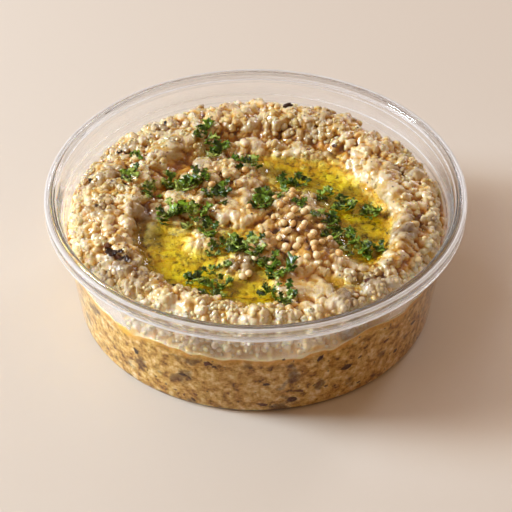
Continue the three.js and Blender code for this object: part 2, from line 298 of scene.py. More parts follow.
def makeLights():
    # A room that is warmer and darker low down, a large window on the left and a soft strip behind.
    world = bpy.data.worlds.new("paleRoom")
    bpy.context.scene.world = world
    world.use_nodes = True
    world.node_tree.nodes.clear()
    add = partial(addNode, world.node_tree)
    facing = add("TexCoord")
    parts = add("SeparateXYZ", [facing.outputs["Generated"]])
    height = add("MapRange", [parts.outputs[2], -1, 1, 0, 1])
    sky = add("ValToRGB", {"Fac": height}, stops=light["sky"])
    room = add("Background", {"Color": sky, "Strength": light["skyStrength"]})
    add("OutputWorld", {"Surface": room})
    for lamp in light["lamps"]:
        data = bpy.data.lights.new(lamp["name"], "AREA")
        data.shape = "DISK"
        data.size = lamp["size"] * mm
        data.energy = lamp["power"]
        data.color = hexColor(lamp["color"])[:3]
        lampObject = bpy.data.objects.new(lamp["name"], data)
        place = Vector(lamp["at"]) * mm
        lampObject.location = place
        towards = Vector((0, 0, view["aim"])) * mm - place
        lampObject.rotation_euler = towards.to_track_quat("-Z", "Y").to_euler()
        bpy.context.collection.objects.link(lampObject)


def makeFloor():
    # A plain pale table top, a hair below the tub's foot.
    material, add = newMaterial("honedLimestone")
    shader = add("BsdfPrincipled", {"Base Color": table["color"], "Roughness": table["roughness"]})
    add("OutputMaterial", {"Surface": shader})
    half, drop = table["halfSize"] * mm, table["drop"] * mm
    mesh = bpy.data.meshes.new("floor")
    corners = [(-half, -half, 0), (half, -half, 0), (half, half, 0), (-half, half, 0)]
    mesh.from_pydata(corners, [], [(0, 1, 2, 3)])
    floor = bpy.data.objects.new("floor", mesh)
    floor.location.z = -drop
    mesh.materials.append(material)
    bpy.context.collection.objects.link(floor)


makeCamera()
makeLights()
makeFloor()
bpy.context.scene.view_settings.view_transform = "Standard"
print("camera, lights and floor are in place")


# The tub

tub = {
    "rimRadius": tubHigh.x / mm,
    "rimHeight": tubHigh.z / mm,
    "bandWidth": 3.1,  # the rim's ribbed top
    "skirtDrop": 4.2,  # from the rim's top to the lower edge of its skirt
    "wall": 0.8,
    "footRadius": 49.1,
    "footRecess": 0.6,
    "footRing": 5,
    "corner": 2.2,
    "wallTopRadius": 54.1,  # inside, at the lid's seat
    "wallTopHeight": 31.5,
    "stepRadius": 55.1,  # inside, at the step under the rim
    "stepHeight": 35.4,
    "lineHeight": 29,  # a fine line round the wall
    "sides": 288,
    "seatBreaks": 3.4,
    "paintedHighlightAt": (38, 26),  # degrees round, half width, of the strongest painted highlight on the inner steps' creases
    "seatPaintedShade": -0.6,  # painted shade: the grey line in the undercut below the lid's seat
    "stepPaintedHighlight": 0.35,  # painted highlight: the white lines on the creases of the inner steps
    "finishes": [  # name, haze, roughness and index of the free wall, the skirt and the filled wall
        ("clearPolypropylene", 0.012, 0.03, 1.42),
        ("frostedPolypropylene", 0.06, 0.17, 1.42),
        ("filledPolypropylene", 0, 0.03, 1.24),
    ],
}


def innerRadius(z):
    # Radius of the tub's inner wall: a straight cone from the corner to the lid's seat.
    low = tub["footRadius"] + tub["corner"] - tub["wall"]
    share = (z - tub["corner"]) / (tub["wallTopHeight"] - tub["corner"])
    return low + (tub["wallTopRadius"] - low) * share


def keepInTub(points, intoWall):
    # Points past the inner wall are drawn in to it, all but a little.
    room = (innerRadius(points[..., 2]) + intoWall) / np.maximum(np.hypot(points[..., 0], points[..., 1]), 1)
    points[..., :2] *= np.minimum(1, room)[..., None]


def arc(middle, radius, start, end, count):
    # Points on a part of a circle, from one angle to another in degrees.
    angle = np.radians(np.linspace(start, end, count))
    return np.stack([middle[0] + radius * np.cos(angle), middle[1] + radius * np.sin(angle)], axis=1)


def lathe(profile, sides):
    # A profile of (radius, height) that starts and ends on the axis, carried round it.
    turn = np.arange(sides) * 2 * math.pi / sides
    ring = profile[1:-1]
    poles = [[0, 0, profile[0][1]], [0, 0, profile[-1][1]]]
    points = np.concatenate([circled(ring[:, :1], turn, ring[:, 1:]).reshape(-1, 3), poles])
    i = np.arange(sides)
    last = len(points) - 1
    return points, [ringFaces(len(ring), sides)[:, ::-1], fanFaces(i[::-1], last - 1),
                    fanFaces((len(ring) - 1) * sides + i, last)]


def tubProfile():
    # Out along the underside, up the wall, over the rim and its skirt, and back down the inside. Each stretch
    # has its fold: above 0 it is painted white, partly for creases in the plastic and partly as painted
    # highlights on its beads and edges; below 0 it is painted grey, as painted shade in undercuts and along
    # the rim's top.
    t = tub
    wall, corner, foot = t["wall"], t["corner"], t["footRadius"]
    ringIn = foot - t["footRing"]
    bandIn = t["rimRadius"] - t["bandWidth"]
    top, skirt = t["rimHeight"], t["rimHeight"] - t["skirtDrop"]
    outer, shelf, under = t["rimRadius"], t["lineHeight"], t["wall"] + t["footRecess"]
    seatRadius, seat = t["wallTopRadius"], t["wallTopHeight"]
    stepRadius, step = t["stepRadius"], t["stepHeight"]
    parts = [
        (0, [(0, t["footRecess"]), (ringIn - 8, t["footRecess"]), (ringIn - 1, t["footRecess"])]),
        (0.3, [(ringIn - 0.3, 0.15), (ringIn + 0.2, 0)]),
        (0, [(foot - 1, 0)]),
        (0.1, arc((foot, corner), corner, -90, 0, 9)),
        (0, [(innerRadius(shelf - 0.5) + wall - 0.1, shelf - 0.5)]),
        (0.25, [(innerRadius(shelf) + wall + 0.12, shelf)]),
        (0, [(innerRadius(shelf + 0.4) + wall, shelf + 0.4)]),
        (t["seatPaintedShade"], [(seatRadius + wall, seat - 1.1), (seatRadius + wall + 0.15, seat - 0.85)]),
        (0.3, [(seatRadius + wall + 0.27, seat - 0.5)]),
        (0, [(stepRadius + wall, step - 1.2), (stepRadius + wall + 0.1, step - 0.6)]),
        (0, [(bandIn + wall + 0.1, top - wall - 0.9), (bandIn + wall + 0.5, top - wall - 0.35)]),
        (0, [(outer - wall - 0.8, top - wall - 0.1), (outer - wall - 0.15, top - wall - 0.6)]),
        (0, [(outer - wall, skirt + 1)]),
        (0.3, [(outer - wall, skirt + 0.3)]),
        (0.8, arc((outer - wall / 2, skirt + 0.4), wall / 2, 180, 360, 7)),
        (0.55, [(outer, skirt + 0.9)]),
        (0.06, [(outer, skirt + 1.3), (outer, top - 1.75)]),
        (-0.3, [(outer, top - 1.4), (outer, top - 1)]),
        (0.8, arc((outer - 0.5, top - 0.5), 0.5, 0, 130, 8)),
        (-0.2, [(outer - 1.05, top - 0.42), (outer - 1.4, top - 0.42)]),
        (-0.12, arc((outer - 2.05, top - 0.45), 0.42, 20, 160, 8)),
        (-0.2, [(outer - 2.62, top - 0.42), (bandIn + 0.25, top - 0.6)]),
        (0.45, [(bandIn + 0.05, top - 0.8), (bandIn - 0.05, top - 1.1)]),
        (0, [(bandIn - 0.2, top - 1.5), (stepRadius + 0.25, step + 0.5)]),
        (t["stepPaintedHighlight"], [(stepRadius + 0.02, step + 0.1)]),
        (0, [(stepRadius - 0.12, step - 0.3), (seatRadius + 0.22, seat + 0.5)]),
        (t["stepPaintedHighlight"], [(seatRadius + 0.1, seat + 0.35), (seatRadius + 0.03, seat + 0.1)]),
        (0, [(seatRadius - 0.1, seat - 0.3)]),
        (0, [(innerRadius(shelf + 0.4), shelf + 0.4), (innerRadius(shelf - 0.2) - 0.06, shelf - 0.2)]),
        (0, arc((foot, corner), corner - wall, 0, -90, 7)),
        (0, [(ringIn + 0.1, wall), (ringIn - 0.6, wall + 0.3), (ringIn - 1.1, under)]),
        (0, [(ringIn - 8, under), (0, under)]),
    ]
    foldsAndPaintedLight = np.concatenate([np.full(len(points), fold, float) for fold, points in parts])
    return np.concatenate([np.asarray(points, float) for _, points in parts]), foldsAndPaintedLight


def polypropylene(name, haze, roughness, index):
    # Thermoformed clear polypropylene: glassy, with a faint white haze. Its white lines are partly creases
    # where it is folded and partly painted highlights on its beads and edges, and its grey lines are painted
    # shade in its undercuts. Lamps shine through it, so what lies behind it is lit. Where dip lies against it
    # there is no air behind it, and a lower index gives it less glare.
    material, add = newMaterial(name)
    spot = add("TexCoord").outputs["Object"]
    ripple = add("TexNoise", {"Vector": spot, "Scale": scaleFor(16.67), "Detail": 1})
    bump = add("Bump", {"Height": ripple, "Strength": 0.05, "Distance": 2 * mm})
    clear = add("BsdfPrincipled", {
        "Base Color": "#FDFDFE", "Roughness": roughness, "IOR": index, "Transmission Weight": 1,
        "Normal": bump})
    front = add("BsdfDiffuse", {"Color": "#F4F3F5"})
    back = add("BsdfTranslucent", {"Color": "#F4F3F5"})
    milk = add("MixShader", [0.5, front, back])
    # fold carries painted light: above 0 white, partly creases and partly painted highlights; below 0 grey
    # painted shade.
    fold = add("Attribute", attribute_name="fold").outputs["Fac"]
    hazeAndPaintedHighlight = add("MapRange", [fold, 0, 1, haze, 0.9])
    greyAndPaintedShade = add("MapRange", [fold, -1, 0, 0.95, 0])
    body = add("MixShader", [hazeAndPaintedHighlight, clear, milk])
    paintedShadeBsdf = add("BsdfTransparent", {"Color": "#5E5A5E"})
    body = add("MixShader", [greyAndPaintedShade, body, paintedShadeBsdf])
    path = add("LightPath")
    through = add("BsdfTransparent", {"Color": "#DAD6D2"})
    shown = add("MixShader", [path.outputs["Is Shadow Ray"], body, through])
    add("OutputMaterial", {"Surface": shown})
    return material


def makeTub():
    # The profile carried round, with the seat's painted shade broken up along its front, the painted
    # highlight on the inner steps' creases whitest at the back right, the skirt frosted, and less glare on
    # the wall that the dip fills.
    profile, foldsAndPaintedLight = tubProfile()
    points, faces = lathe(profile, tub["sides"])
    turn = np.arange(tub["sides"]) * 2 * math.pi / tub["sides"]
    brokenSeatShade = smooth(-0.3, 0.3, noise(turn * tub["rimRadius"], 0 * turn, tub["seatBreaks"], 15))
    brokenSeatShade = brokenSeatShade * frontness(turn)
    at, halfWidth = tub["paintedHighlightAt"]
    paintedHighlightStreak = 0.6 + 1.6 * np.exp(-(turnFrom(turn, at) / halfWidth) ** 2)
    foldsAndPaintedLight = foldsAndPaintedLight[1:-1, None]
    carried = foldsAndPaintedLight * np.where(foldsAndPaintedLight == tub["seatPaintedShade"], brokenSeatShade, 1)
    carried = carried * np.where(foldsAndPaintedLight == tub["stepPaintedHighlight"], paintedHighlightStreak, 1)
    outwards = np.minimum(profile[1:-2, 0], profile[2:-1, 0])
    upwards = np.maximum(profile[1:-2, 1], profile[2:-1, 1])
    filled = (upwards < tub["lineHeight"] - 0.4) & (outwards > tub["footRadius"] - 1)
    kinds = np.where(filled, 2, np.where(outwards > tub["rimRadius"] - 0.25, 1, 0))
    slots = np.concatenate([np.repeat(kinds, tub["sides"]), np.zeros(2 * tub["sides"])])
    return makePiece("clearTub", points, faces, [polypropylene(*finish) for finish in tub["finishes"]],
                     {"fold": np.concatenate([carried.ravel(), [0, 0]])}, slots)


tubPiece = makeTub()
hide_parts("tub")


# The dip's form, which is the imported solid's: a ring heaped round a spooned basin

dip = {
    "intoWall": 0.25,
    "wallLine": 27,
    "wallWaves": [(5, 0.6, 1), (11, 0.4, 0)],  # waves a turn, height, start
    "wallSags": [(268, 55, 4.6), (226, 14, 3)],  # degrees, half width, drop
    "basin": (2, -8, 33.4, 29.2),  # x, y, radius, floor
    "crest": 34.3,
    "crestWaves": [(1, 1, 0), (6, 0.5, 0.6)],  # higher at the back, and uneven
    "crestShare": 0.46,  # of the way from the basin's edge to the wall
    "fallPower": 2.3,
    "topLimit": 35.8,
    "pastLimit": 0.35,  # share kept of what stands higher
    "lumps": 230,
    "lumpRadius": (2.8, 5.4),
    "lumpRise": 1.5,
    "lumpReach": 51.5,
    "curd": (2.6, (0.4, 0.74)),  # spacing, and radii as shares of it
    "grain": (1.2, (0.4, 0.8)),
    "curdRise": 0.72,
    "grainRise": 0.42,
    "calmUnderOil": 0.78,
    "calmByWall": (52.8, 53.8, 0.6),  # from and to radius, share taken away
    # How deep the painted shade is in crevices, in seams between grains and among the seeds.
    "creviceShadeDepth": 0.58,
    "seamShadeDepth": 0.36,
    "seedShade": 0.24,
    "oilLevel": 30.8,
    "smoothBankAndPaintedHighlight": (26, 13, 34.6, 0.4),  # smooth bank of the right pool, painted pale as a painted highlight: degrees, half width, radius, half width
    "cells": 280,
    "sideLevels": (0.012, 0.035, 0.08, 0.2, 0.6, 1),  # rows down the wall, as shares of its height
    "oilPocket": (-34.6, -40.2, 23.2, 4.4),  # oil caught against the wall: x, y, z, radius
    "strokes": [  # degrees from and to, radius from and to, rise, half width
        (120, 176, 41, 36, 3.2, 3.4),
        (108, 152, 36.5, 30.5, -1.8, 3),
        (50, 112, 39.5, 40, -2.8, 2.8),
        (58, 106, 34.6, 33, 1.6, 2.8),
        (-30, 46, 38.2, 37.6, 2.2, 2.8),
        (-56, -33, 38, 39, -1.8, 3),
        (-34, 34, 42.5, 45, -2.6, 2.6),
        (-82, -56, 31, 31.5, 2.6, 4),
        (166, 206, 36.8, 38.2, 1.9, 2),
        (162, 202, 31.2, 31.6, 1.1, 2.4),
        (10, 44, 36.4, 35.6, 1.3, 1.8),
    ],
    "mounds": [  # x, y, radius, rise
        (-16, 2.5, 14.5, 4.2), (-17, 17, 8, 3), (-6, 13, 8, 3.8), (9.5, -1.5, 9, 4.4), (13, -14, 8.8, 4.6),
        (18, -25, 6.5, 3.8), (27, -29, 5.5, 2.5), (9, -31, 6, 3.2), (-4, -5, 5, 3.6), (2.5, -19, 5, 3),
        (-5, -26, 5.5, 3.4), (-14.5, -16.5, 4.2, 2.8),
    ],
    "smoothSpots": [  # where the spoon drew it smooth: x, y, radius
        (13, -33, 6), (-28.5, -8, 4.5), (-27.5, -14, 4), (-25, 18, 4), (36, -8, 5), (36, 4, 4), (34, -20, 4),
        (-3, -6, 4),
    ],
    "bareSpots": [(-29, -10, 5.5), (13, -34, 5), (37, -6, 4), (-26, 17, 4)],  # no lumps: x, y, radius
    "greyAndShadeSpots": [  # grey-brown flesh and shade: x, y, radius, strength
        (-30, -6, 5, 0.9), (-29, -14, 4.5, 0.9), (2, 32, 6, 0.45), (10, 31, 5, 0.45), (-3, 31, 4, 0.4),
        (43, 13, 4, 0.8), (41, -14, 4, 0.9), (44, -8, 3, 0.7), (-36, -28, 5, 0.9), (-31, -33, 4.5, 0.8),
        (31, -33, 5.5, 1), (24, -39, 5, 0.9), (-44, -4, 4, 0.8), (-40, 12, 4, 0.6), (-22, 20, 4, 0.5),
        (-28, 30, 5, 0.3), (20, 36, 5, 0.4), (-4, -26, 4, 0.7), (18, 4, 5, 0.7), (-17, 12, 4, 0.6),
        (11, -12, 7, 0.8), (17, -19, 5, 0.7), (-45, 8, 4, 0.7), (-38, 24, 4, 0.7), (-26, 33, 4, 0.6),
    ],
}


def wallLine(turn):
    # Height at which the dip meets the wall: waves round the tub, less a sag at each place.
    height = waved(dip["wallLine"], turn, dip["wallWaves"])
    for at, halfWidth, drop in dip["wallSags"]:
        height = height - drop * np.exp(-(turnFrom(turn, at) / halfWidth) ** 2)
    return height


def basinEdge(turn):
    # Radius of the basin's edge: a circle with two, one and five waves a turn.
    return dip["basin"][2] + 1.8 * np.cos(2 * turn) - 0.6 * np.sin(turn) + 0.7 * np.sin(5 * turn + 2)


def dipForm(x, y):
    # The ring, the basin and the spoon strokes, with no grain: an eased climb from the basin's floor to the
    # crest, a fall to the wall line by a power of the way across, then strokes and mounds added.
    middleX, middleY, _, floorHeight = dip["basin"]
    fromBasin = np.hypot(x - middleX, y - middleY)
    turn = np.arctan2(y - middleY, x - middleX)
    tubTurn = np.arctan2(y, x)
    along = middleX * np.cos(turn) + middleY * np.sin(turn)
    wall = innerRadius(dip["wallLine"]) - 0.35
    reach = np.sqrt(along ** 2 - middleX ** 2 - middleY ** 2 + wall ** 2) - along
    edge = basinEdge(turn)
    across = (fromBasin - edge) / (reach - edge)
    top = waved(dip["crest"], tubTurn, dip["crestWaves"])
    fall = np.maximum(0, (across - dip["crestShare"]) / (1 - dip["crestShare"])) ** dip["fallPower"]
    height = floorHeight + (top - floorHeight) * smooth(-0.16, dip["crestShare"], across)
    height = height - (top - wallLine(tubTurn)) * fall
    for start, end, startRadius, endRadius, rise, halfWidth in dip["strokes"]:
        share = (turnFrom(turn, (start + end) / 2) + (end - start) / 2) / (end - start)
        taper = smooth(-0.12, 0.15, share) * (1 - smooth(0.85, 1.12, share))
        radius = mix(startRadius, endRadius, share)
        stroke = rise * taper * np.exp(-((fromBasin - radius) / halfWidth) ** 2)
        height = height + stroke * (1 - np.minimum(1, fall))
    for atX, atY, radius, rise in dip["mounds"]:
        height = height + rise * bell(x, y, atX, atY, radius) * (1 - smooth(-0.1, 0.25, across))
    return height


def lumpRise(x, y):
    # Lumps spread by the golden angle, each a dome R (1 - d^2), the highest counting.
    rise = np.zeros_like(x)
    for i in range(dip["lumps"]):
        out = dip["lumpReach"] * math.sqrt((i + 0.5) / dip["lumps"])
        atX = out * math.cos(i * goldenAngle) + 2 * (draw(i, 1) - 0.5)
        atY = out * math.sin(i * goldenAngle) + 2 * (draw(i, 2) - 0.5)
        radius = mix(*dip["lumpRadius"], draw(i, 3))
        away = ((x - atX) ** 2 + (y - atY) ** 2) / radius ** 2
        rise = np.maximum(rise, dip["lumpRise"] * (0.5 + draw(i, 4)) * (1 - away))
    return rise


def grainAmount(x, y):
    # How grainy the dip is, from a little in spooned places to 1 in clumps.
    amount = 0.9 + 0.38 * noise(x, y, 7, 31) + 0.2 * noise(x, y, 3.4, 32)
    for atX, atY, radius in dip["smoothSpots"]:
        amount = amount - 0.6 * bell(x, y, atX, atY, radius)
    return np.clip(amount, 0.3, 1)


def greyAndShadeAmount(x, y):
    # Patches of grey-brown flesh and painted shade: the named places and some stray ones.
    amount = 0.7 * smooth(0.25, 0.8, noise(x, y, 8, 51)) * smooth(-0.2, 0.5, noise(x, y, 2.6, 52))
    for atX, atY, radius, strength in dip["greyAndShadeSpots"]:
        amount = np.maximum(amount, strength * bell(x, y, atX, atY, radius))
    return amount


def overTheForm(x, y):
    # The place a tape would give: the same direction from the basin's middle, and as far as the length along
    # the form, summed over 20 steps, so that grains stay round on slopes.
    middleX, middleY = dip["basin"][:2]
    fromMiddle = np.maximum(np.hypot(x - middleX, y - middleY), 1e-6)
    length = np.zeros_like(x)
    last = dipForm(middleX + 0 * x, middleY + 0 * y)
    for step in range(1, 21):
        height = dipForm(mix(middleX, x, step / 20), mix(middleY, y, step / 20))
        length = length + np.hypot(fromMiddle / 20, height - last)
        last = height
    return middleX + (x - middleX) * length / fromMiddle, middleY + (y - middleY) * length / fromMiddle


def dipSurface(x, y):
    # The form, pushed out along its own slope by lumps, curds and grains, less under oil and by the wall.
    middleX, middleY = dip["basin"][:2]
    fromMiddle = np.hypot(x - middleX, y - middleY)
    step = 0.5
    form = dipForm(x, y)
    slopeX = (dipForm(x + step, y) - dipForm(x - step, y)) / (2 * step)
    slopeY = (dipForm(x, y + step) - dipForm(x, y - step)) / (2 * step)
    normal = np.stack([-slopeX, -slopeY, np.ones_like(x)], axis=-1)
    normal /= np.linalg.norm(normal, axis=-1, keepdims=True)
    u, v = overTheForm(x, y)
    wet = 1 - smooth(dip["oilLevel"] - 0.8, dip["oilLevel"] + 1.6, form)
    wet = wet * (1 - smooth(39, 43, fromMiddle))
    amount = grainAmount(x, y)
    curd, curdDraw = grains(u, v, *dip["curd"], 3)
    grain, grainDraw = grains(u, v, *dip["grain"], 11)
    detail = dip["curdRise"] * (curd - 0.9) + dip["grainRise"] * (grain - 0.4) + 0.1 * noise(u, v, 0.9, 5)
    detail = detail * amount + 0.4 * noise(u, v, 4.5, 6)
    warpX, warpY = x + 1.4 * noise(x, y, 4, 7), y + 1.4 * noise(x, y, 4, 8)
    lumps = lumpRise(warpX, warpY) - 0.4 * dip["lumpRise"]
    for spot in dip["bareSpots"]:
        lumps = lumps * (1 - 0.9 * bell(x, y, *spot))
    at, halfTurn, radius, halfWidth = dip["smoothBankAndPaintedHighlight"]
    away = turnFrom(np.arctan2(y - middleY, x - middleX), at) / halfTurn
    edge = np.exp(-away ** 4 - ((fromMiddle - radius) / halfWidth) ** 2)
    calmFrom, calmTo, calm = dip["calmByWall"]
    relief = (lumps + detail) * (1 - dip["calmUnderOil"] * wet)
    relief = relief * (1 - calm * smooth(calmFrom, calmTo, np.hypot(x, y)))
    relief = relief * (1 - 0.8 * edge)
    points = np.stack([x, y, form], axis=-1) + normal * relief[..., None]
    past = points[..., 2] - dip["topLimit"]
    points[..., 2] = np.where(past < 0, points[..., 2], dip["topLimit"] + dip["pastLimit"] * past)
    keepInTub(points, dip["intoWall"])
    # On the right pool's smooth bank the curds' tone is raised to the palest, and grey taken away, as a
    # painted highlight.
    own = mix(curdDraw, grainDraw, 0.4)
    return {"points": points, "normal": normal, "wet": wet, "own": mix(own, 1, 0.8 * edge),
            "greyAndPaintedShade": greyAndShadeAmount(x, y) * (1 - edge), "amount": amount * (1 - 0.8 * edge),
            "seam": 1 - smooth(0.15, 1, 0.7 * curd + 0.6 * grain)}


seeds = {
    "length": 2.5, "width": 2.3, "thickness": 2.2, "sides": 12, "rows": 8, "sink": 0.4, "stray": 3.4,
    "sizes": (0.76, 1.08),
    "husk": [(0, "#DEB474"), (0.5, "#EACB92"), (1, "#F5E4B8")], "point": "#C49656",
    "patches": [  # x, y, half length, half width, degrees, count
        (11.5, -15.5, 13.5, 7.5, -60, 32), (-12, 6, 12, 6, 25, 9), (0, -26, 8, 4, 60, 6),
        (8, 0, 10, 4, 20, 5),
    ],
}


def amongSeeds(x, y):
    # 1 in the middle of the seeds' main patch, fading to 0 outside it.
    atX, atY, long, wide, lean, _ = seeds["patches"][0]
    lean = math.radians(lean)
    along = (x - atX) * math.cos(lean) + (y - atY) * math.sin(lean)
    aside = (y - atY) * math.cos(lean) - (x - atX) * math.sin(lean)
    return 1 - smooth(0.7, 1.15, np.hypot(along / long, aside / wide))


def discGrid(cells):
    # A square grid pressed into a unit disc: distance is 1 - (1 - g)^1.2, closer near the wall, with g the
    # greater of |u| and |v|. The angle follows the smaller over the greater, an eighth of a turn each side of
    # a half axis.
    u, v = np.meshgrid(np.linspace(-1, 1, cells + 1), np.linspace(-1, 1, cells + 1), indexing="ij")
    wide = np.abs(u) >= np.abs(v)
    safeU, safeV = np.where(u == 0, 1, u), np.where(v == 0, 1, v)
    angle = np.where(wide, math.pi / 4 * v / safeU, math.pi / 2 - math.pi / 4 * u / safeV)
    radius = np.where(wide, u, v)
    radius = np.sign(radius) * (1 - (1 - np.abs(radius)) ** 1.2)
    return radius * np.cos(angle), radius * np.sin(angle)


def gridFaces(cells):
    # The disc grid's quads, row by row.
    i = np.arange(cells)
    first = (i[:, None] * (cells + 1) + i).ravel()
    return np.stack([first, first + cells + 1, first + cells + 2, first + 1], axis=1)


def borderOf(cells):
    # The grid's border points in order, anticlockwise seen from above.
    n = cells + 1
    i = np.arange(cells)
    return np.concatenate([i * n, cells * n + i, (cells - i) * n + cells, cells - i])


def meanAround(values, reach):
    # Mean over a square of cells, reach cells each way, by running sums along both axes.
    for axis in (0, 1):
        widths = [(reach + 1, reach) if side == axis else (0, 0) for side in (0, 1)]
        padded = np.pad(values, widths, mode="edge")
        sums = np.cumsum(padded, axis=axis)
        width = 2 * reach + 1
        values = (np.take(sums, np.arange(width, sums.shape[axis]), axis)
                  - np.take(sums, np.arange(sums.shape[axis] - width), axis)) / width
    return values


discX, discY = discGrid(dip["cells"])
edgeRadius = innerRadius(wallLine(np.arctan2(discY, discX))) + dip["intoWall"]
gridX, gridY = discX * edgeRadius, discY * edgeRadius
gridDip = dipSurface(gridX, gridY)


def makeDip(materials):
    # The top is the disc grid on the dip's surface. Its border is carried down the wall to the tub's floor.
    # A crevice is a place below the mean height round it, and is darkened there as painted shade, as are the
    # seams between grains and the dip among the seeds. At the front, in the rim's shade, that painted shade
    # is weaker and the curds' tone is paler, as painted light.
    cells = dip["cells"]
    turn = np.arctan2(gridY, gridX)
    out = np.hypot(discX, discY)
    border = borderOf(cells)
    line = wallLine(turn) + 1.1 * noise(turn * 50, 0 * turn, 6, 21)
    line = line + 0.7 * noise(turn * 50, 0 * turn, 2.8, 22)
    toWall = smooth(0.991, 1, out)
    edge = circled(innerRadius(line) + dip["intoWall"], turn, line)
    points = mix(gridDip["points"], edge, toWall[..., None])
    top = points.reshape(-1, 3)
    low = meanAround(points[..., 2], 4) - points[..., 2]
    lower = meanAround(points[..., 2], 12) - points[..., 2]
    paintedCreviceShade = smooth(0.05, 0.9, low + 0.5 * lower) * dip["creviceShadeDepth"]
    paintedCreviceShade = paintedCreviceShade + dip["seamShadeDepth"] * gridDip["seam"] * gridDip["amount"]
    paintedLightAtFront = smooth(0.86, 0.95, out) * frontness(turn)
    paintedCreviceShade = paintedCreviceShade * (1 - 0.7 * gridDip["wet"]) * (1 - 0.5 * paintedLightAtFront)
    paintedCreviceShade = paintedCreviceShade + dip["seedShade"] * amongSeeds(gridX, gridY)
    turns, line = turn.ravel()[border], line.ravel()[border]
    rows = []
    for level in dip["sideLevels"]:
        z = mix(line, tub["corner"], level)
        rows.append((innerRadius(z) + dip["intoWall"], z))
    bend = tub["corner"] - tub["wall"] + dip["intoWall"]
    sink = tub["wall"] + tub["footRecess"] - dip["intoWall"]
    rows += [(radius, z) for radius, z in arc((tub["footRadius"], tub["corner"]), bend, -20, -90, 4)]
    under = tub["footRadius"] - tub["footRing"] - 1
    rows += [(under, sink), (under / 2, sink)]
    side = np.concatenate([circled(radius, turns, z) for radius, z in rows] + [[[0, 0, sink]]])
    around = len(border)
    index = np.concatenate([border, len(top) + np.arange(len(side) - 1)])
    faces = [gridFaces(cells), index[ringFaces(len(rows) + 1, around)],
             fanFaces(index[len(rows) * around + np.arange(around)[::-1]], len(top) + len(side) - 1)]
    blank = np.zeros(len(side))
    below = np.maximum(0, np.concatenate([line - z for _, z in rows] + [[dip["crest"]]]))
    values = {
        "paintedCreviceShade": (paintedCreviceShade * (1 - toWall), blank),
        # At the front the curds' tone is raised towards the palest, as painted light.
        "own": (mix(gridDip["own"], 1, 0.8 * paintedLightAtFront), blank + 0.5),
        "greyAndPaintedShade": (gridDip["greyAndPaintedShade"], blank),
        "wet": (gridDip["wet"], blank),
        "pressed": (toWall, blank + 1),
        "below": (0 * toWall, below),
    }
    values = {key: np.concatenate([onTop.ravel(), onSide]) for key, (onTop, onSide) in values.items()}
    slots = np.repeat([0, 1], [cells * cells, len(faces[1]) + len(faces[2])])
    return makePiece("aubergineDip", np.concatenate([top, side]), faces, materials, values, slots)


puree = {
    "curds": [(0.1, "#D0B67A"), (0.4, "#DEC896"), (0.7, "#E6D5AE"), (1, "#ECE0C8")],
    "creviceShadeRamp": [(0, "#FFFFFF"), (0.25, "#F8D888"), (0.6, "#C88C2E"), (1, "#5A3204")],  # painted shade of crevices, by depth
    "pressed": [(0.33, "#4C2C06"), (0.42, "#B07C2A"), (0.53, "#DEB45E"), (0.66, "#FCE6B0")],
    "warm": "#E2B450", "greyAndPaintedShade": "#7C6650", "underOil": "#E8D652", "speck": "#5A4208", "dull": "#54300A",
    "band": "#EAB048", "lip": "#FFF2CC", "pocket": "#F2BE3A", "fleck": "#331B0C",
}


